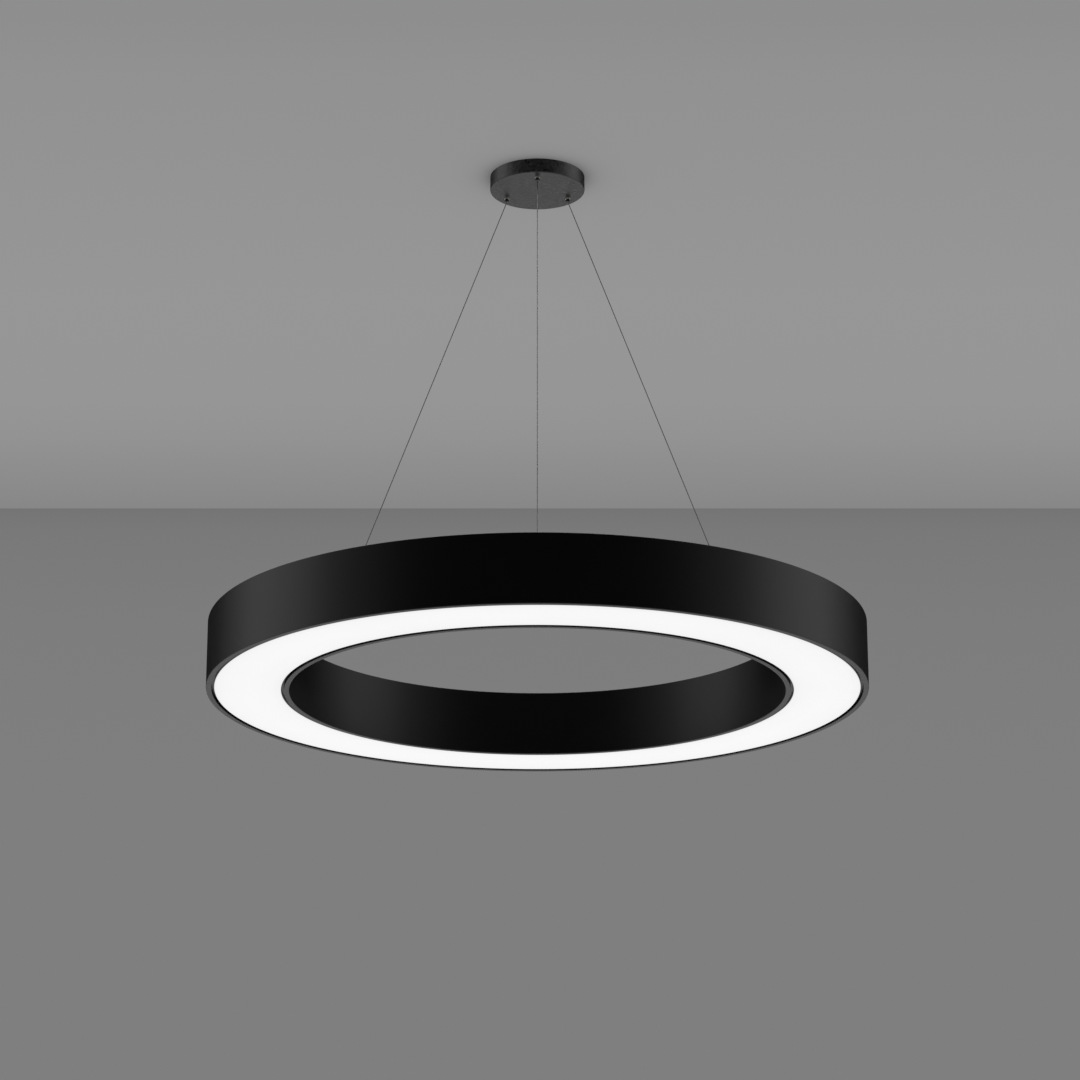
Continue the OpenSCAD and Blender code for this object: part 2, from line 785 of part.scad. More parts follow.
// The supply runs from the terminal to one driver and on to the other, and each driver feeds its boards
module internal_leads() {
  color("darkred") {
    first = driver_angles[1] - 360;
    block_offset = (pole_depth / 2 + loose) / terminal_r * 180 / PI;
    lead_arc(first + mains_offset, terminal_angle - block_offset, mains_r, lead_d);
    lead_arc(driver_angles[0] + mains_offset, driver_angles[1] - mains_offset, mains_r, lead_d);
    for (a = driver_angles) {
      lead_arc(a - led_lead_offset - led_lead_span, a - led_lead_offset, led_lead_r, led_lead_d);
      rotate([0, 0, a - led_lead_offset - led_lead_span]) translate([led_lead_r, 0, tray_top + contact_z])
        led_lead_drop();
    }
  }
}

// The bend of a board's lead and its fall through the tray
module led_lead_drop() {
  translate([0, 0, -led_bend_r]) rotate([0, -90, 0]) rotate([0, 0, -90]) rotate_extrude(angle = 90)
    translate([led_bend_r, 0]) circle(d = led_lead_d, $fn = 48);
  translate([0, -led_bend_r, -contact_z - tray_t])
    cylinder(d = led_lead_d, h = contact_z + tray_t - led_bend_r);
}

// Diffuser

module diffuser_clips() {
  color("silver") for (i = [0 : clip_count - 1]) {
    arc_piece((i + 0.5) * 360 / clip_count, clip_w / ring_r * 180 / PI)
      translate([ring_r, 0]) mirror([1, 0]) clip_profile();
    arc_piece((i + 0.5) * 360 / clip_count, clip_w / inner_r * 180 / PI)
      translate([inner_r, 0]) clip_profile();
  }
}

// Section of a clip: a base in the band's groove, a leg up to the nose and a lead-in above it
module clip_profile() {
  rim_x = shelf_w + rim_gap;
  nose_x = rim_x - bead - loose;
  base_z = shelf_top + fit;
  nose_z = diffuser_top + rim_h - bead_h - clip_bow;
  polygon([
    [band_wall + fit, base_z],
    [nose_x - clip_foot, base_z],
    [nose_x, nose_z - 0.5],
    [nose_x, nose_z],
    [nose_x - clip_bow, nose_z + clip_lead_in],
    [nose_x - clip_bow - clip_t, nose_z + clip_lead_in],
    [nose_x - clip_t, nose_z],
    [nose_x - clip_foot - clip_t / 2, base_z + clip_t],
    [band_wall + fit, base_z + clip_t]
  ]);
}

module diffuser() {
  color("white") rotate_extrude($fn = 180) {
    translate([diffuser_in_r, diffuser_face]) square([diffuser_out_r - diffuser_in_r, diffuser_t]);
    translate([ring_r - shelf_w - rim_gap, diffuser_top - eps]) mirror([1, 0]) diffuser_rim();
    translate([inner_r + shelf_w + rim_gap, diffuser_top - eps]) diffuser_rim();
  }
}

// Section of one upright rim; its outer face is at x = 0 and its bead points away from it
module diffuser_rim() {
  square([rim_t, rim_h + eps]);
  translate([-bead, rim_h - bead_h]) square([bead + eps, bead_h]);
}

ceiling_plate();
canopy_cover();
canopy_screws();
canopy_terminal();
canopy_contacts();
earth_tag();
grip_barrels();
grip_caps();
grip_plunger(0);  // grip_plunger_1
grip_plunger(1);  // grip_plunger_2
grip_plunger(2);  // grip_plunger_3
grip_balls(0);  // grip_balls_1
grip_balls(1);  // grip_balls_2
grip_balls(2);  // grip_balls_3
grip_spring(0);  // grip_spring_1
grip_spring(1);  // grip_spring_2
grip_spring(2);  // grip_spring_3
wire_upper_ends();
wire_stops();
suspension_wire(0);  // suspension_wire_1
suspension_wire(1);  // suspension_wire_2
suspension_wire(2);  // suspension_wire_3
wire_ball_ends();
wire_anchors();
spreader_plates();
anchor_nuts();
outer_band();
inner_band();
top_cover();
cover_screws();
inlet_bush();
inlet_nut();
led_tray();
tray_screws();
led_boards();
board_screws();
board_connectors();
driver_cases();
driver_covers();
driver_screws();
ring_terminal();
ring_contacts();
earth_stud();
internal_leads();
tray_grommets();
diffuser_clips();
diffuser();
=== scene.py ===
# Ring pendant light: a black ring that glows below, hung from a round canopy by three steel ropes
import json
from math import pi, radians

import bmesh
import bpy
from mathutils import Matrix, Vector


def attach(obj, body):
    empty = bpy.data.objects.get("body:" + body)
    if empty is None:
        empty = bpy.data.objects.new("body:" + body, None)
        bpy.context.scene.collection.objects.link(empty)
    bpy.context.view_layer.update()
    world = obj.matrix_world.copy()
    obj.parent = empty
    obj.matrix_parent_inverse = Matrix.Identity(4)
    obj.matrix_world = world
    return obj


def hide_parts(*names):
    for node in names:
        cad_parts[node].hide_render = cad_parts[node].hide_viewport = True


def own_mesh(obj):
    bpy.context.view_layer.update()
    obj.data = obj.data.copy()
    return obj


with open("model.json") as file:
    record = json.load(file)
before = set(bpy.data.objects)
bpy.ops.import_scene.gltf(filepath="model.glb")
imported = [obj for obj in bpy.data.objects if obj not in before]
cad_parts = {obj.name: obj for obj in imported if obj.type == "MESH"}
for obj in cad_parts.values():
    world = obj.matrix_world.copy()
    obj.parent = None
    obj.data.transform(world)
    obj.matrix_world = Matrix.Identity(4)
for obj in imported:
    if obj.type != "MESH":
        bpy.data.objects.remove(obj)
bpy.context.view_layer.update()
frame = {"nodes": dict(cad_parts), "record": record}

nodes = frame["nodes"]
scene = bpy.context.scene
scene.view_settings.view_transform = "Standard"

# Sizes of the source that new pieces repeat, in millimetres

# Ring: its radii, its height and the section of its two rolled bands, measured from their faces
RING_R = 400
INNER_R = 300
MID_R = 350
RING_TOP = -600
RING_BOTTOM = -682
WALL = 2
LIP_W = 6.5
LIP_T = 2
SHELF_Z = -677.5
SHELF_TOP = -676
SHELF_W = 13
RIB_Z = -675.3
RIB_W = 5
RIB_T = 1
PORT_X = 5.65
PORT_W = 9.2
PORT_H = 10
PORT_DEPTH = 8
GROOVE_HALF = 1.55
TRAY_BOTTOM = -642
TRAY_TOP = -640.5
COVER_BOTTOM = -602
BOARDS = 8
BOARD_T = 1.6

# Diffuser: its rims and their beads, measured from its edges and its upper face
DIFFUSER_IN = 310
DIFFUSER_OUT = 390
DIFFUSER_FACE = -681
DIFFUSER_TOP = -678
BEAD_FACE = 3.4
RIM_FACE = 4
RIM_BACK = 6
BEAD_LOW = 8
RIM_H = 10

# Wires, from the grips' mouths down to the balls in the anchors
GRIP_R = 45
MOUTH_Z = -24.5
HEAD_TOP = -8
STOP_H = 3.2
ANCHOR_R = 320
ANCHOR_BALL_Z = -593.5
ANCHOR_BALL_R = 2.5
WIRE_R = 0.6
WIRE_GAP = 0.1
WIRE_ANGLES = (270, 30, 150)

# Springs in the grips
SPRING_LOW = -12.7
SPRING_TOP = -9.6

# Degrees from which an edge counts as sharp
SHARP = 32


# Camera

def place_camera():
    """The photograph's view, from a camera that is tilted up where the photograph's was shifted."""
    tilt_up = 17.36
    lens = bpy.data.cameras.new("photo camera")
    lens.sensor_width = 36
    lens.lens = 107.88
    lens.shift_x = 0.0024
    lens.clip_end = 60
    camera = bpy.data.objects.new("photo camera", lens)
    camera.location = (0, -3.8, -1.6723)
    camera.rotation_euler = (radians(90 + tilt_up), 0, 0)
    scene.collection.objects.link(camera)
    scene.camera = camera


place_camera()


# Shader node helpers

def add(tree, kind, **settings):
    """A shader node of that kind with its settings."""
    node = tree.nodes.new("ShaderNode" + kind)
    for name, value in settings.items():
        setattr(node, name, value)
    return node


def join(tree, source, target):
    tree.links.new(source, target)


def feed(tree, slot, value):
    """Sets an input to a number, or joins it to the output of another node."""
    if isinstance(value, (int, float)):
        slot.default_value = value
    else:
        join(tree, value, slot)


def levels(tree, source, stops):
    """A grey or colour ramp over a value from 0 to 1."""
    ramp = add(tree, "ValToRGB")
    marks = ramp.color_ramp.elements
    while len(marks) < len(stops):
        marks.new(0.5)
    for mark, (place, colour) in zip(marks, stops):
        mark.position = place
        mark.color = (*colour, 1) if isinstance(colour, tuple) else (colour, colour, colour, 1)
    join(tree, source, ramp.inputs["Fac"])
    return ramp.outputs["Color"]


def spread(tree, source, low, high, to_low=0.0, to_high=1.0):
    """The span from low to high, moved to another span and held at its ends."""
    node = add(tree, "MapRange")
    node.inputs["From Min"].default_value = low
    node.inputs["From Max"].default_value = high
    node.inputs["To Min"].default_value = to_low
    node.inputs["To Max"].default_value = to_high
    join(tree, source, node.inputs["Value"])
    return node.outputs["Result"]


def noise(tree, vector, scale, detail=2.0, roughness=0.5):
    node = add(tree, "TexNoise")
    node.inputs["Detail"].default_value = detail
    node.inputs["Roughness"].default_value = roughness
    feed(tree, node.inputs["Scale"], scale)
    join(tree, vector, node.inputs["Vector"])
    return node.outputs["Fac"]


def maths(tree, operation, a, b, clamp=False):
    node = add(tree, "Math", operation=operation, use_clamp=clamp)
    for slot, value in zip(node.inputs, (a, b)):
        feed(tree, slot, value)
    return node.outputs["Value"]


def axes(tree, vector):
    """The X, Y and Z outputs of a vector."""
    split = add(tree, "SeparateXYZ")
    join(tree, vector, split.inputs["Vector"])
    return split.outputs


def relief_normal(tree, height, strength, distance):
    """The normal of a face with a fine relief."""
    raised = add(tree, "Bump")
    raised.inputs["Strength"].default_value = strength
    raised.inputs["Distance"].default_value = distance
    join(tree, height, raised.inputs["Height"])
    return raised.outputs["Normal"]


def group(name, inputs, outputs):
    """A node group with its two end nodes; an input has a label, a kind and its usual value."""
    tree = bpy.data.node_groups.new(name, "ShaderNodeTree")
    for label, kind, value in inputs:
        socket = tree.interface.new_socket(label, in_out="INPUT", socket_type="NodeSocket" + kind)
        if value is not None:
            socket.default_value = value
    for label, kind in outputs:
        tree.interface.new_socket(label, in_out="OUTPUT", socket_type="NodeSocket" + kind)
    return tree, tree.nodes.new("NodeGroupInput"), tree.nodes.new("NodeGroupOutput")


def use_group(tree, made, place, **values):
    """A made group that works on the given place."""
    node = add(tree, "Group")
    node.node_tree = made
    for name, value in values.items():
        node.inputs[name].default_value = value
    join(tree, place, node.inputs["Vector"])
    return node.outputs


# Effects that several finishes share

# The span that holds nearly all values of a noise
NOISE_SPAN = (0.3, 0.7)


def grain_group():
    """Fine grain of a coat or a moulding: a coarse ripple and a fine tooth."""
    tree, start, end = group(
        "Grain",
        [("Vector", "Vector", None), ("Ripples per metre", "Float", 400.0),
         ("Teeth per metre", "Float", 1800.0)],
        [("Height", "Float"), ("Tone", "Float")],
    )
    place = start.outputs["Vector"]
    ripple = noise(tree, place, start.outputs["Ripples per metre"], detail=2)
    tooth = noise(tree, place, start.outputs["Teeth per metre"], detail=3, roughness=0.6)
    coarse, fine = maths(tree, "MULTIPLY", ripple, 0.6), maths(tree, "MULTIPLY", tooth, 0.4)
    join(tree, maths(tree, "ADD", coarse, fine), end.inputs["Height"])
    join(tree, spread(tree, tooth, *NOISE_SPAN), end.inputs["Tone"])
    return tree


def dust_group():
    """A trace of dust in patches, mostly where a face looks up."""
    tree, start, end = group(
        "Dust",
        [("Vector", "Vector", None), ("Amount", "Float", 0.2)],
        [("Mask", "Float")],
    )
    facing = axes(tree, add(tree, "NewGeometry").outputs["Normal"])
    upward = spread(tree, facing["Z"], 0.6, 1.0, to_low=0.12)
    cloud = noise(tree, start.outputs["Vector"], 14.0, detail=4, roughness=0.62)
    patches = spread(tree, cloud, 0.38, 0.72)
    settled = maths(tree, "MULTIPLY", upward, patches)
    join(tree, maths(tree, "MULTIPLY", settled, start.outputs["Amount"]), end.inputs["Mask"])
    return tree


def brushing_group():
    """Fine parallel marks of brushing or rolling along one axis."""
    tree, start, end = group(
        "Brushing",
        [("Vector", "Vector", None), ("Marks", "Vector", (60.0, 2500.0, 60.0))],
        [("Height", "Float"), ("Tone", "Float")],
    )
    stretched = add(tree, "VectorMath", operation="MULTIPLY")
    join(tree, start.outputs["Vector"], stretched.inputs[0])
    join(tree, start.outputs["Marks"], stretched.inputs[1])
    marks = noise(tree, stretched.outputs["Vector"], 1.0, detail=4, roughness=0.6)
    join(tree, marks, end.inputs["Height"])
    join(tree, spread(tree, marks, *NOISE_SPAN), end.inputs["Tone"])
    return tree


GRAIN = grain_group()
DUST = dust_group()
BRUSHING = brushing_group()


# Finishes

DUST_COLOUR = (0.28, 0.27, 0.25, 1)
DUST_ROUGHNESS = 0.3


def new_material(name):
    material = bpy.data.materials.new(name)
    material.use_nodes = True
    return material, material.node_tree, material.node_tree.nodes["Principled BSDF"]


def start_finish(name):
    """A new material with its place: the piece's own coordinates."""
    material, tree, shader = new_material(name)
    return material, tree, shader, add(tree, "TexCoord").outputs["Object"]


def grain(tree, place, ripples, teeth):
    return use_group(tree, GRAIN, place, **{"Ripples per metre": ripples, "Teeth per metre": teeth})


def finish(name, dark, light, rough, metallic=0.0, ripples=400.0, teeth=1800.0, bump=0.1,
           depth=0.0001, dust=0.12, brushed=None, specular=0.5):
    """A painted, moulded or plated finish: two tones, a span of roughness and a fine relief."""
    material, tree, shader, place = start_finish(name)
    if brushed:
        relief = use_group(tree, BRUSHING, place, Marks=brushed)
    else:
        relief = grain(tree, place, ripples, teeth)
    film = use_group(tree, DUST, place, Amount=dust)["Mask"]
    dusted = add(tree, "Mix", data_type="RGBA")
    dusted.inputs["B"].default_value = DUST_COLOUR
    join(tree, film, dusted.inputs["Factor"])
    join(tree, levels(tree, relief["Tone"], [(0, dark), (1, light)]), dusted.inputs["A"])
    join(tree, dusted.outputs["Result"], shader.inputs["Base Color"])
    bare = spread(tree, relief["Tone"], 0, 1, rough[0], rough[1])
    roughness = maths(tree, "ADD", bare, maths(tree, "MULTIPLY", film, DUST_ROUGHNESS), clamp=True)
    join(tree, roughness, shader.inputs["Roughness"])
    shader.inputs["Metallic"].default_value = metallic
    shader.inputs["Specular IOR Level"].default_value = specular
    join(tree, relief_normal(tree, relief["Height"], bump, depth), shader.inputs["Normal"])
    return material


def opal_finish():
    """Opal acrylic that glows on its lower face, a little less at its edges, hardly on its rims."""
    glow_strength, rim_glow = 0.88, 0.06
    face_depth = ((DIFFUSER_FACE + 0.4) / 1000, (DIFFUSER_FACE + 0.1) / 1000)
    half_width = (DIFFUSER_OUT - DIFFUSER_IN) / 2000
    material, tree, shader, place = start_finish("opal diffuser")
    flat = add(tree, "VectorMath", operation="MULTIPLY")
    flat.inputs[1].default_value = (1, 1, 0)
    join(tree, place, flat.inputs[0])
    radius = add(tree, "VectorMath", operation="LENGTH")
    join(tree, flat.outputs["Vector"], radius.inputs[0])
    offset = maths(tree, "SUBTRACT", radius.outputs["Value"], MID_R / 1000)
    from_middle = spread(tree, maths(tree, "ABSOLUTE", offset, 0), 0, half_width)
    across = levels(tree, from_middle, [(0, 1.0), (0.7, 0.985), (0.95, 0.95), (1.0, 0.86)])
    lit = spread(tree, axes(tree, place)["Z"], *face_depth, rim_glow, 1)
    cloud = spread(tree, noise(tree, place, 9.0), *NOISE_SPAN, to_low=0.985)
    glow = add(tree, "VectorMath", operation="SCALE")
    join(tree, across, glow.inputs[0])
    join(tree, maths(tree, "MULTIPLY", lit, cloud), glow.inputs["Scale"])
    join(tree, glow.outputs["Vector"], shader.inputs["Emission Color"])
    shader.inputs["Emission Strength"].default_value = glow_strength
    shader.inputs["Specular IOR Level"].default_value = 0.2
    tooth = grain(tree, place, 300.0, 2600.0)
    join(tree, levels(tree, tooth["Tone"], [(0, 0.055), (1, 0.075)]), shader.inputs["Base Color"])
    join(tree, spread(tree, tooth["Tone"], 0, 1, 0.42, 0.55), shader.inputs["Roughness"])
    join(tree, relief_normal(tree, tooth["Height"], 0.05, 0.0001), shader.inputs["Normal"])
    return material


black_coat = finish(
    "black powder coat", 0.001, 0.0028, (0.29, 0.43),
    ripples=480, teeth=1500, bump=0.32, depth=0.00016, dust=0.03, specular=0.38)
canopy_coat = finish(
    "speckled canopy coat", 0.0, 0.036, (0.26, 0.5),
    ripples=200, teeth=300, bump=1.0, depth=0.0006, dust=0.02, specular=0.6)
white_coat = finish(
    "white tray coat", 0.72, 0.8, (0.45, 0.58), ripples=500, teeth=2400, bump=0.08)
solder_mask = finish(
    "white solder mask", 0.78, 0.84, (0.32, 0.42), ripples=900, teeth=3200, bump=0.06)
satin_nickel = finish(
    "satin nickel", (0.5, 0.49, 0.47), (0.66, 0.65, 0.62), (0.46, 0.58), metallic=1.0,
    brushed=(900.0, 900.0, 9000.0), bump=0.08, depth=0.00005, dust=0.04)
plain_brass = finish(
    "plain brass", (0.5, 0.36, 0.13), (0.68, 0.51, 0.22), (0.25, 0.4), metallic=1.0,
    ripples=900, teeth=4000, bump=0.06, depth=0.00005, dust=0.04)
zinc_plate = finish(
    "zinc plate", (0.42, 0.44, 0.46), (0.62, 0.63, 0.64), (0.28, 0.46), metallic=1.0,
    ripples=150, teeth=1500, bump=0.05, depth=0.00005, dust=0.08)
spring_steel = finish(
    "spring steel", (0.3, 0.3, 0.31), (0.46, 0.46, 0.46), (0.25, 0.36), metallic=1.0,
    brushed=(400.0, 4000.0, 400.0), bump=0.06, depth=0.00003, dust=0.03)
# Painted shade: nickel darkened so that the grips' lower ends look like shaded mouths
nickel_as_painted_shade = finish(
    "nickel darkened as painted shade", (0.05, 0.05, 0.05), (0.09, 0.09, 0.088), (0.3, 0.42), metallic=1.0,
    brushed=(900.0, 900.0, 9000.0), bump=0.05, depth=0.00005, dust=0.02)
polished_steel = finish(
    "polished steel", (0.58, 0.58, 0.59), (0.68, 0.68, 0.68), (0.06, 0.12), metallic=1.0,
    ripples=900, teeth=6000, bump=0.01, depth=0.00002, dust=0.0)
rope_steel = finish(
    "drawn rope steel", (0.2, 0.2, 0.205), (0.32, 0.32, 0.32), (0.46, 0.58), metallic=0.5,
    ripples=1500, teeth=7000, bump=0.05, depth=0.00002, dust=0.02)
black_oxide = finish(
    "black oxide", 0.012, 0.03, (0.34, 0.5), metallic=0.6,
    ripples=900, teeth=4000, bump=0.06, depth=0.00004, dust=0.05)
black_plastic = finish(
    "black moulding", 0.012, 0.02, (0.45, 0.6), ripples=600, teeth=2600, bump=0.16, dust=0.08)
white_plastic = finish(
    "white moulding", 0.66, 0.74, (0.4, 0.55), ripples=600, teeth=2600, bump=0.12, dust=0.1)
terminal_plastic = finish(
    "ivory moulding", (0.62, 0.59, 0.5), (0.72, 0.69, 0.6), (0.38, 0.5),
    ripples=700, teeth=2600, bump=0.08, dust=0.06)
white_sheath = finish(
    "white sheath", 0.55, 0.64, (0.42, 0.58), ripples=250, teeth=1600, bump=0.08, dust=0.06)
black_rubber = finish(
    "black rubber", 0.014, 0.024, (0.6, 0.75), ripples=500, teeth=2200, bump=0.16, dust=0.06)
opal = opal_finish()
phosphor = finish(
    "chip phosphor", (0.78, 0.62, 0.2), (0.88, 0.74, 0.3), (0.3, 0.4),
    ripples=900, teeth=6000, bump=0.02, dust=0.0)

SLOT_FINISH = {
    "black_coat": canopy_coat, "black_aluminium": black_coat, "white_aluminium": white_coat,
    "board_aluminium": solder_mask, "opal": opal, "nickel": satin_nickel, "brass": plain_brass,
    "zinc_steel": zinc_plate, "spring_steel": spring_steel, "ball_steel": polished_steel,
    "wire_steel": rope_steel, "black_screw": black_oxide, "black_plastic": black_plastic,
    "white_plastic": white_plastic, "terminal_plastic": terminal_plastic,
    "lead_sheath": white_sheath, "black_rubber": black_rubber,
}
NODE_SLOT = {row["node"]: row["material_slot"] for row in frame["record"]["subparts"]}
NODE_BODY = {
    node: body
    for body, names in frame["record"]["behaviour"]["bodies"].items()
    for node in names
}


# Making pieces; a mesh is worked out in millimetres and stored in metres

def add_piece(name, shape, node, sharp=SHARP, even=True):
    """Stores a shape as the piece that stands for a CAD node."""
    return store_piece(name, shape, NODE_SLOT[node], NODE_BODY[node], [node], sharp, even)


def store_piece(name, shape, slot, body, replaced=(), sharp=SHARP, even=True):
    """Stores a shape as a piece on a body; an edge is sharp from that many degrees."""
    bmesh.ops.scale(shape, vec=(0.001, 0.001, 0.001), verts=shape.verts[:])
    mesh = bpy.data.meshes.new(name)
    shape.to_mesh(mesh)
    shape.free()
    mesh.shade_smooth()
    mesh.set_sharp_from_angle(angle=radians(sharp))
    mesh.materials.append(SLOT_FINISH[slot])
    piece = bpy.data.objects.new(name, mesh)
    scene.collection.objects.link(piece)
    if even:
        even_shading(piece)
    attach(piece, body)
    if replaced:
        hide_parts(*replaced)
    return piece


def even_shading(piece):
    piece.modifiers.new("even shading", "WEIGHTED_NORMAL").keep_sharp = True


def turned(outline, rounds, steps):
    """A closed outline of radius and height points, some corners rounded, turned about z."""
    shape = bmesh.new()
    corners = [shape.verts.new((x, 0, z)) for x, z in outline]
    shape.faces.new(corners)
    for radius in sorted({r for _, r in rounds}):
        bmesh.ops.bevel(shape, geom=[corners[i] for i, r in rounds if r == radius], offset=radius,
                        offset_type="OFFSET", segments=3, profile=0.5, affect="VERTICES",
                        clamp_overlap=True, material=-1)
    bmesh.ops.delete(shape, geom=shape.faces[:], context="FACES_ONLY")
    bmesh.ops.spin(shape, geom=shape.verts[:] + shape.edges[:], cent=(0, 0, 0), axis=(0, 0, 1),
                   angle=2 * pi, steps=steps, use_merge=True)
    close_up(shape)
    return shape


def close_up(shape):
    """Joins the ends of a turned shape and makes its faces look outwards."""
    bmesh.ops.remove_doubles(shape, verts=shape.verts[:], dist=0.0005)
    bmesh.ops.dissolve_degenerate(shape, edges=shape.edges[:], dist=0.0001)
    bmesh.ops.recalc_face_normals(shape, faces=shape.faces[:])


def band_outline(face_r, inward):
    """The section of a rolled band; inward is -1 on the outer band and 1 on the inner one."""
    groove_in, groove_out = PORT_X - GROOVE_HALF, PORT_X + GROOVE_HALF
    low_port_top = TRAY_TOP + PORT_H
    low_groove_end = TRAY_TOP + PORT_DEPTH
    high_port_bottom = COVER_BOTTOM - PORT_H
    high_groove_end = COVER_BOTTOM - PORT_DEPTH
    points = [
        (0, RING_BOTTOM), (LIP_W, RING_BOTTOM),
        (LIP_W, RING_BOTTOM + LIP_T), (WALL, RING_BOTTOM + LIP_T),
        (WALL, SHELF_Z), (SHELF_W, SHELF_Z), (SHELF_W, SHELF_TOP), (WALL, SHELF_TOP),
        (WALL, RIB_Z), (RIB_W, RIB_Z), (RIB_W, RIB_Z + RIB_T), (WALL, RIB_Z + RIB_T),
        (WALL, TRAY_TOP), (groove_in, TRAY_TOP), (groove_in, low_groove_end),
        (groove_out, low_groove_end), (groove_out, TRAY_TOP), (PORT_W, TRAY_TOP),
        (PORT_W, low_port_top), (WALL, low_port_top),
        (WALL, high_port_bottom), (PORT_W, high_port_bottom), (PORT_W, COVER_BOTTOM),
        (groove_out, COVER_BOTTOM), (groove_out, high_groove_end),
        (groove_in, high_groove_end), (groove_in, COVER_BOTTOM),
        (WALL, COVER_BOTTOM), (WALL, RING_TOP), (0, RING_TOP),
    ]
    return [(face_r + inward * x, z) for x, z in points]


def make_bands():
    """The two walls of the ring; the edges of their faces are rounder than those of lip and top."""
    face_low, lip_low, lip_top, top_inside, face_top = 0, 1, 2, 28, 29
    face_edge, small_edge = 1.0, 0.3
    rounds = [(face_low, face_edge), (face_top, face_edge),
              (lip_low, small_edge), (lip_top, small_edge), (top_inside, small_edge)]
    add_piece("outer_wall", turned(band_outline(RING_R, -1), rounds, steps=360), "outer_band")
    add_piece("inner_wall", turned(band_outline(INNER_R, 1), rounds, steps=300), "inner_band")


def make_diffuser():
    """One opal sheet with two upright rims, each with a bead that the clips hold."""
    bead_z, rim_z = DIFFUSER_TOP + BEAD_LOW, DIFFUSER_TOP + RIM_H
    outline = [
        (DIFFUSER_IN, DIFFUSER_FACE), (DIFFUSER_OUT, DIFFUSER_FACE),
        (DIFFUSER_OUT, DIFFUSER_TOP), (DIFFUSER_OUT - RIM_FACE, DIFFUSER_TOP),
        (DIFFUSER_OUT - RIM_FACE, bead_z), (DIFFUSER_OUT - BEAD_FACE, bead_z),
        (DIFFUSER_OUT - BEAD_FACE, rim_z), (DIFFUSER_OUT - RIM_BACK, rim_z),
        (DIFFUSER_OUT - RIM_BACK, DIFFUSER_TOP), (DIFFUSER_IN + RIM_BACK, DIFFUSER_TOP),
        (DIFFUSER_IN + RIM_BACK, rim_z), (DIFFUSER_IN + BEAD_FACE, rim_z),
        (DIFFUSER_IN + BEAD_FACE, bead_z), (DIFFUSER_IN + RIM_FACE, bead_z),
        (DIFFUSER_IN + RIM_FACE, DIFFUSER_TOP), (DIFFUSER_IN, DIFFUSER_TOP),
    ]
    face_in, face_out, out_bead_top, in_bead_top = 0, 1, 6, 11
    face_edge, bead_edge = 0.3, 0.2
    rounds = [(face_in, face_edge), (face_out, face_edge),
              (out_bead_top, bead_edge), (in_bead_top, bead_edge)]
    add_piece("opal_diffuser", turned(outline, rounds, steps=360), "diffuser")


def wire_end(shape, points, radius, place=Matrix()):
    """A small circle to spin into a wire, as its points and edges."""
    end = bmesh.ops.create_circle(shape, segments=points, radius=radius, matrix=place)["verts"]
    return end + list(dict.fromkeys(e for v in end for e in v.link_edges))


def repeat_shape(shape, copies, **motion):
    """Copies all of a shape so many times, each further along the motion of a spin."""
    bmesh.ops.spin(shape, geom=shape.verts[:] + shape.edges[:] + shape.faces[:], cent=(0, 0, 0),
                   axis=(0, 0, 1), steps=copies, use_duplicate=True, **motion)


def rope(length):
    """A wire rope up the z axis from the origin: six strands laid round a straight core."""
    strands, steps_per_turn, usual_lay, weld = 6, 9, 9, 0.002
    shape = bmesh.new()
    turns = max(1, round(length / usual_lay))
    lay = length / turns
    strand_r = WIRE_R / 3
    core_r = strand_r * 1.3
    for i in range(strands):
        turn = Matrix.Rotation(i * 2 * pi / strands, 4, "Z")
        end = wire_end(shape, 6, strand_r, turn @ Matrix.Translation((2 * strand_r, 0, 0)))
        bmesh.ops.spin(shape, geom=end, cent=(0, 0, 0), axis=(0, 0, 1),
                       dvec=(0, 0, lay / steps_per_turn), angle=2 * pi, steps=steps_per_turn)
    bmesh.ops.spin(shape, geom=wire_end(shape, 8, core_r), cent=(0, 0, 0), axis=(0, 0, 1),
                   dvec=(0, 0, lay), angle=0, steps=1)
    if turns > 1:
        repeat_shape(shape, turns - 1, dvec=(0, 0, lay), angle=0)
    bmesh.ops.remove_doubles(shape, verts=shape.verts[:], dist=weld)
    bmesh.ops.holes_fill(shape, edges=shape.edges[:], sides=8)
    bmesh.ops.recalc_face_normals(shape, faces=shape.faces[:])
    return shape


def at_grip(i):
    """Where grip i stands: its axis, up from z = 0."""
    return Matrix.Rotation(radians(WIRE_ANGLES[i]), 4, "Z") @ Matrix.Translation((GRIP_R, 0, 0))


def make_ropes():
    """The three ropes from the grips' mouths to the anchors, each with a mesh of its own."""
    run, fall = ANCHOR_R - GRIP_R, MOUTH_Z - ANCHOR_BALL_Z
    span = (run * run + fall * fall) ** 0.5
    along = Vector((run, 0, -fall)).to_track_quat("Z", "Y").to_matrix().to_4x4()
    for i in range(3):
        shape = rope(span - WIRE_R - ANCHOR_BALL_R - WIRE_GAP)
        mouth = at_grip(i) @ Matrix.Translation((0, 0, MOUTH_Z))
        place = mouth @ along @ Matrix.Translation((0, 0, WIRE_R))
        bmesh.ops.transform(shape, matrix=place, verts=shape.verts[:])
        wire = add_piece(f"wire_rope_{i + 1}", shape, f"suspension_wire_{i + 1}", sharp=80,
                         even=False)
        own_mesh(wire)


def gather(shapes):
    """One shape from several."""
    whole = bmesh.new()
    for shape in shapes:
        holder = bpy.data.meshes.new("holder")
        shape.to_mesh(holder)
        shape.free()
        whole.from_mesh(holder)
        bpy.data.meshes.remove(holder)
    return whole


def make_upper_ends():
    """The upright ends of the ropes, from the grips' mouths to the tops of the stop sleeves."""
    shapes = []
    for i in range(3):
        shape = rope(HEAD_TOP + STOP_H - MOUTH_Z)
        place = at_grip(i) @ Matrix.Translation((0, 0, MOUTH_Z))
        bmesh.ops.transform(shape, matrix=place, verts=shape.verts[:])
        shapes.append(shape)
    add_piece("rope_upper_ends", gather(shapes), "wire_upper_ends", sharp=80, even=False)


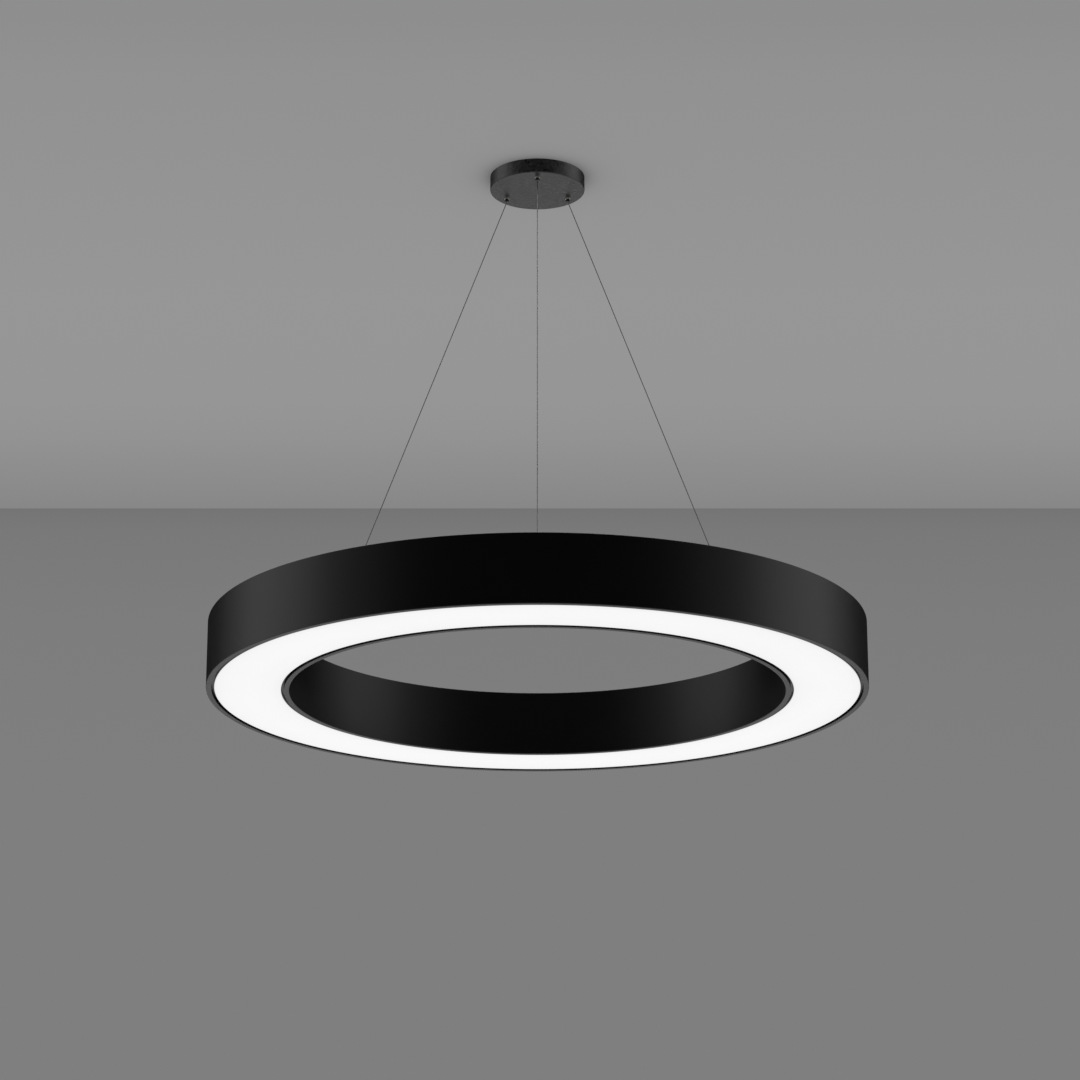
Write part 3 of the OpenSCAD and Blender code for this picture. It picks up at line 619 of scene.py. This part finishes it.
def make_springs():
    """A small coil spring over each cage of balls."""
    wire_r, coil_r, turns, steps_per_turn = 0.18, 2.1, 4, 28
    height = SPRING_TOP - SPRING_LOW
    steps = turns * steps_per_turn
    for i in range(3):
        shape = bmesh.new()
        first_coil = Matrix.Translation((coil_r, 0, SPRING_LOW + wire_r))
        start = first_coil @ Matrix.Rotation(pi / 2, 4, "X")
        end = wire_end(shape, 10, wire_r, start)
        rise = (height - 2 * wire_r) / steps
        bmesh.ops.spin(shape, geom=end, cent=(0, 0, 0), axis=(0, 0, 1), dvec=(0, 0, rise),
                       angle=2 * pi * turns, steps=steps)
        bmesh.ops.holes_fill(shape, edges=shape.edges[:], sides=10)
        bmesh.ops.recalc_face_normals(shape, faces=shape.faces[:])
        bmesh.ops.transform(shape, matrix=at_grip(i), verts=shape.verts[:])
        coil = add_piece(f"coil_spring_{i + 1}", shape, f"grip_spring_{i + 1}", sharp=60,
                         even=False)
        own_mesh(coil)


def make_light_chips():
    """Two rows of light chips on each board, each a white case with a phosphor window."""
    chips, from_middle = 18, 13
    width, length, height = 2.8, 3.5, 0.7
    window_rim, window_depth = 0.45, 0.12
    board_face = TRAY_BOTTOM - BOARD_T
    shape = bmesh.new()
    for radius in (MID_R - from_middle, MID_R + from_middle):
        middle = Matrix.Translation((radius, 0, board_face - height / 2))
        size = Matrix.Diagonal((width, length, height, 1))
        bmesh.ops.create_cube(shape, size=1, matrix=middle @ size)
    looks_down = -0.9
    windows = [f for f in shape.faces if f.normal.z < looks_down]
    bmesh.ops.inset_individual(shape, faces=windows, thickness=window_rim, depth=-window_depth)
    for face in windows:
        face.material_index = 1
    span = radians(360 / BOARDS)
    first = Matrix.Rotation(span / chips / 2, 3, "Z")
    bmesh.ops.rotate(shape, cent=(0, 0, 0), matrix=first, verts=shape.verts[:])
    repeat_shape(shape, chips - 1, angle=span * (chips - 1) / chips)
    repeat_shape(shape, BOARDS - 1, angle=2 * pi * (BOARDS - 1) / BOARDS)
    bmesh.ops.recalc_face_normals(shape, faces=shape.faces[:])
    piece = store_piece("light_chips", shape, "board_aluminium", "ring", sharp=20, even=False)
    piece.data.materials[0] = white_plastic
    piece.data.materials.append(phosphor)


# How far the edges of the source's other pieces are eased, in millimetres; 0 only smooths them
EASED = {
    "ceiling_plate": 0.3, "canopy_cover": 0.2, "canopy_screws": 0.1, "canopy_terminal": 0.35,
    "canopy_contacts": 0.1, "earth_tag": 0.12, "grip_barrels": 0.2, "grip_caps": 0.12,
    "grip_plunger_1": 0.12, "grip_plunger_2": 0.12, "grip_plunger_3": 0.12,
    "grip_balls_1": 0, "grip_balls_2": 0, "grip_balls_3": 0,
    "wire_stops": 0.2, "wire_ball_ends": 0, "wire_anchors": 0.25, "spreader_plates": 0.3,
    "anchor_nuts": 0.3, "top_cover": 0.3, "cover_screws": 0.12, "inlet_bush": 0.3,
    "inlet_nut": 0.4, "led_tray": 0.2, "tray_screws": 0.15, "led_boards": 0.15,
    "board_screws": 0.15, "board_connectors": 0.3, "driver_cases": 0.6, "driver_covers": 0.6,
    "driver_screws": 0.15, "ring_terminal": 0.35, "ring_contacts": 0.1, "earth_stud": 0.12,
    "internal_leads": 0, "tray_grommets": 0.2, "diffuser_clips": 0.06,
}


def ease_edges():
    """Copies of the source's remaining pieces with smooth turned faces and softly broken edges."""
    weld, flat = 0.001, radians(0.5)
    for node, width in EASED.items():
        shape = bmesh.new()
        shape.from_mesh(nodes[node].data)
        bmesh.ops.scale(shape, vec=(1000, 1000, 1000), verts=shape.verts[:])
        bmesh.ops.remove_doubles(shape, verts=shape.verts[:], dist=weld)
        bmesh.ops.dissolve_limit(shape, angle_limit=flat, verts=shape.verts[:],
                                 edges=shape.edges[:])
        piece = add_piece(f"{node}_eased", shape, node, even=False)
        # The plungers take the darkened nickel, painted shade for the grips' mouths
        if node.startswith("grip_plunger"):
            piece.data.materials[0] = nickel_as_painted_shade
        if width:
            edge = piece.modifiers.new("eased edges", "BEVEL")
            edge.width = width / 1000
            edge.segments = 2
            edge.limit_method = "ANGLE"
            edge.angle_limit = radians(SHARP)
        even_shading(piece)


make_bands()
make_diffuser()
make_ropes()
make_upper_ends()
make_springs()
make_light_chips()
ease_edges()


# Stage: a grey ceiling and wall that only the camera sees, and a pale floor far below; in metres

CEILING_Z = -0.0005
CEILING_SIZE = (10, 7)
WALL_Y = 1.37
WALL_SIZE = (2.6, 1.1)
WALL_FADES = (("X", 0.95, 1.3), ("Z", 0.3, 0.55))
FLOOR_Z = -2.7
FLOOR_R = 9
FLOOR_FADE = (2.9, 7.5)
ROOM_GREY = 127
# How far the painted shadow beside the canopy reaches, in metres
PAINTED_SHADOW_SPAN = 0.16
CARD_W = 5.8
RAYS = ("camera", "diffuse", "glossy", "transmission", "shadow")

# Grey levels of 0 to 255 of the ceiling, from front to back, and of the wall, from below upwards;
# they are painted light and shade, darker at the ceiling's front and towards the corner of ceiling
# and wall
CEILING_PAINTED_SHADING = [
    (-0.45, 142), (-0.3, 145.5), (-0.1, 147), (0.07, 148.3), (0.42, 150.5), (0.84, 149.8),
    (1.0, 147), (1.12, 143), (1.27, 138.5), (1.36, 135.5),
]
WALL_PAINTED_SHADING = [
    (-0.5, 127), (-0.33, 126), (-0.2, 125), (-0.09, 122.5), (-0.04, 121), (-0.01, 118), (0, 116),
]


def grey(level):
    """A grey level of 0 to 255 as a linear colour."""
    value = level / 255
    return value / 12.92 if value <= 0.04045 else ((value + 0.055) / 1.055) ** 2.4


def one_sided(tree, shade, gone):
    """Ends a material with its shade, and with nothing where it is gone."""
    front = add(tree, "MixShader")
    join(tree, gone, front.inputs["Fac"])
    join(tree, shade, front.inputs[1])
    join(tree, add(tree, "BsdfTransparent").outputs["BSDF"], front.inputs[2])
    join(tree, front.outputs["Shader"], tree.nodes["Material Output"].inputs["Surface"])


def backdrop_finish(name, axis, painted_shading, painted_canopy_shadow=False, ends=()):
    """A backdrop whose grey, painted light and shade, changes along one axis, seen from its front
    only.

    A painted shadow, worked out by ambient occlusion, darkens it softly beside the canopy.
    Each end is an axis with the two distances between which the backdrop fades out.
    """
    material, tree, unused, place = start_finish(name)
    tree.nodes.remove(unused)
    along = axes(tree, place)
    low, high = painted_shading[0][0], painted_shading[-1][0]
    stops = [((distance - low) / (high - low), grey(level)) for distance, level in painted_shading]
    colour = levels(tree, spread(tree, along[axis], low, high), stops)
    if painted_canopy_shadow:
        # Painted shadow: ambient occlusion darkens the backdrop's grey beside the canopy
        painted_shadow = add(tree, "AmbientOcclusion", samples=24)
        painted_shadow.inputs["Distance"].default_value = PAINTED_SHADOW_SPAN
        join(tree, colour, painted_shadow.inputs["Color"])
        colour = painted_shadow.outputs["Color"]
    shade = add(tree, "Emission")
    join(tree, colour, shade.inputs["Color"])
    gone = add(tree, "NewGeometry").outputs["Backfacing"]
    for side, inner, outer in ends:
        distance = maths(tree, "ABSOLUTE", along[side], 0)
        gone = maths(tree, "MAXIMUM", gone, spread(tree, distance, inner, outer))
    one_sided(tree, shade.outputs["Emission"], gone)
    return material


def floor_finish():
    """A pale floor that shows shadows in its middle and fades into the backdrop far out.

    In reflections it is mixed with an even light, as the lit floor of a room would be.
    """
    reflected_share, reflected_tone = 0.5, 0.95
    material, tree, paint, place = start_finish("pale floor")
    paint.inputs["Base Color"].default_value = (0.82, 0.82, 0.82, 1)
    paint.inputs["Roughness"].default_value = 0.9
    radius = add(tree, "VectorMath", operation="LENGTH")
    join(tree, place, radius.inputs[0])
    reflected = add(tree, "LightPath").outputs["Is Glossy Ray"]
    mirrored = maths(tree, "MULTIPLY", reflected, reflected_share)
    far = maths(tree, "MAXIMUM", spread(tree, radius.outputs["Value"], *FLOOR_FADE), mirrored)
    shade = add(tree, "Emission")
    tone = spread(tree, reflected, 0, 1, grey(ROOM_GREY), reflected_tone)
    join(tree, tone, shade.inputs["Color"])
    mixed = add(tree, "MixShader")
    join(tree, far, mixed.inputs["Fac"])
    join(tree, paint.outputs["BSDF"], mixed.inputs[1])
    join(tree, shade.outputs["Emission"], mixed.inputs[2])
    one_sided(tree, mixed.outputs["Shader"], add(tree, "NewGeometry").outputs["Backfacing"])
    return material


def card_finish():
    """Black card with no shine."""
    material, _, shader = new_material("dark card")
    shader.inputs["Base Color"].default_value = (0.01, 0.01, 0.01, 1)
    shader.inputs["Specular IOR Level"].default_value = 0
    return material


def stage_sheet(name, shape, material, seen_by=RAYS):
    mesh = bpy.data.meshes.new(name)
    shape.to_mesh(mesh)
    shape.free()
    mesh.materials.append(material)
    sheet = bpy.data.objects.new(name, mesh)
    scene.collection.objects.link(sheet)
    for rays in RAYS:
        setattr(sheet, "visible_" + rays, rays in seen_by)


def flat_sheet(place, width, length, turn):
    """A rectangle, turned about its x axis, with its middle at the given place."""
    shape = bmesh.new()
    stand = Matrix.Translation(place) @ Matrix.Rotation(turn, 4, "X")
    bmesh.ops.create_grid(shape, x_segments=1, y_segments=1, size=0.5,
                          matrix=stand @ Matrix.Diagonal((width, length, 1, 1)))
    return shape


def make_stage():
    """A ceiling and a wall for the camera alone, a floor, and two cards for reflections alone."""
    # The ceiling's grey carries painted shade, and a painted shadow beside the canopy
    ceiling = backdrop_finish("ceiling", "Y", CEILING_PAINTED_SHADING, painted_canopy_shadow=True)
    place = (0, WALL_Y - CEILING_SIZE[1] / 2, CEILING_Z)
    stage_sheet("ceiling", flat_sheet(place, *CEILING_SIZE, pi), ceiling, ("camera",))
    # The wall's grey ramp is painted shade, darker up towards its corner with the ceiling
    wall = backdrop_finish("wall", "Z", WALL_PAINTED_SHADING, ends=WALL_FADES)
    place = (0, WALL_Y, CEILING_Z - WALL_SIZE[1] / 2)
    stage_sheet("wall", flat_sheet(place, *WALL_SIZE, pi / 2), wall, ("camera",))
    ground = bmesh.new()
    bmesh.ops.create_circle(ground, cap_ends=True, segments=96, radius=FLOOR_R,
                            matrix=Matrix.Translation((0, 0, FLOOR_Z)))
    stage_sheet("floor", ground, floor_finish())
    card = card_finish()
    for side, place, height in (("front", (0, -2.4, 0.9), 3.6), ("back", (0, 2.4, 1.2), 3.1)):
        sheet = flat_sheet(place, CARD_W, height, pi / 2)
        stage_sheet(f"dark_card_{side}", sheet, card, ("glossy",))


def make_world():
    """An even grey room to the camera and in reflections, and a softer fill for everything else."""
    fill_light = 0.14
    world = bpy.data.worlds.new("studio")
    scene.world = world
    world.use_nodes = True
    tree = world.node_tree
    room, fill = tree.nodes["Background"], add(tree, "Background")
    for background, tone in ((room, grey(ROOM_GREY)), (fill, fill_light)):
        background.inputs["Color"].default_value = (tone, tone, tone, 1)
    path = add(tree, "LightPath")
    seen = maths(tree, "ADD", path.outputs["Is Camera Ray"], path.outputs["Is Glossy Ray"])
    seen = maths(tree, "ADD", seen, path.outputs["Is Transmission Ray"], clamp=True)
    either = add(tree, "MixShader")
    join(tree, seen, either.inputs["Fac"])
    join(tree, fill.outputs["Background"], either.inputs[1])
    join(tree, room.outputs["Background"], either.inputs[2])
    join(tree, either.outputs["Shader"], tree.nodes["World Output"].inputs["Surface"])


def softbox(name, place, aim, width, height, brightness):
    """A soft lamp whose face has the given brightness, where 1 is white."""
    lamp = bpy.data.lights.new(name, "AREA")
    lamp.shape = "RECTANGLE"
    lamp.size, lamp.size_y = width, height
    lamp.energy = brightness * width * height * pi
    box = bpy.data.objects.new(name, lamp)
    box.location = place
    box.rotation_mode = "QUATERNION"
    box.rotation_quaternion = (Vector(aim) - Vector(place)).to_track_quat("-Z", "Y")
    box.visible_camera = False
    scene.collection.objects.link(box)


def make_lights():
    for side in (-1, 1):
        softbox("side_light", (side * 2.6, 0.15, 0.3), aim=(0, 0, -0.3),
                width=1.8, height=3.4, brightness=0.68)
    softbox("top_light", (0, 0.3, 3.2), aim=(0, 0, -0.6), width=3.4, height=3.4, brightness=3.0)


make_stage()
make_world()
make_lights()
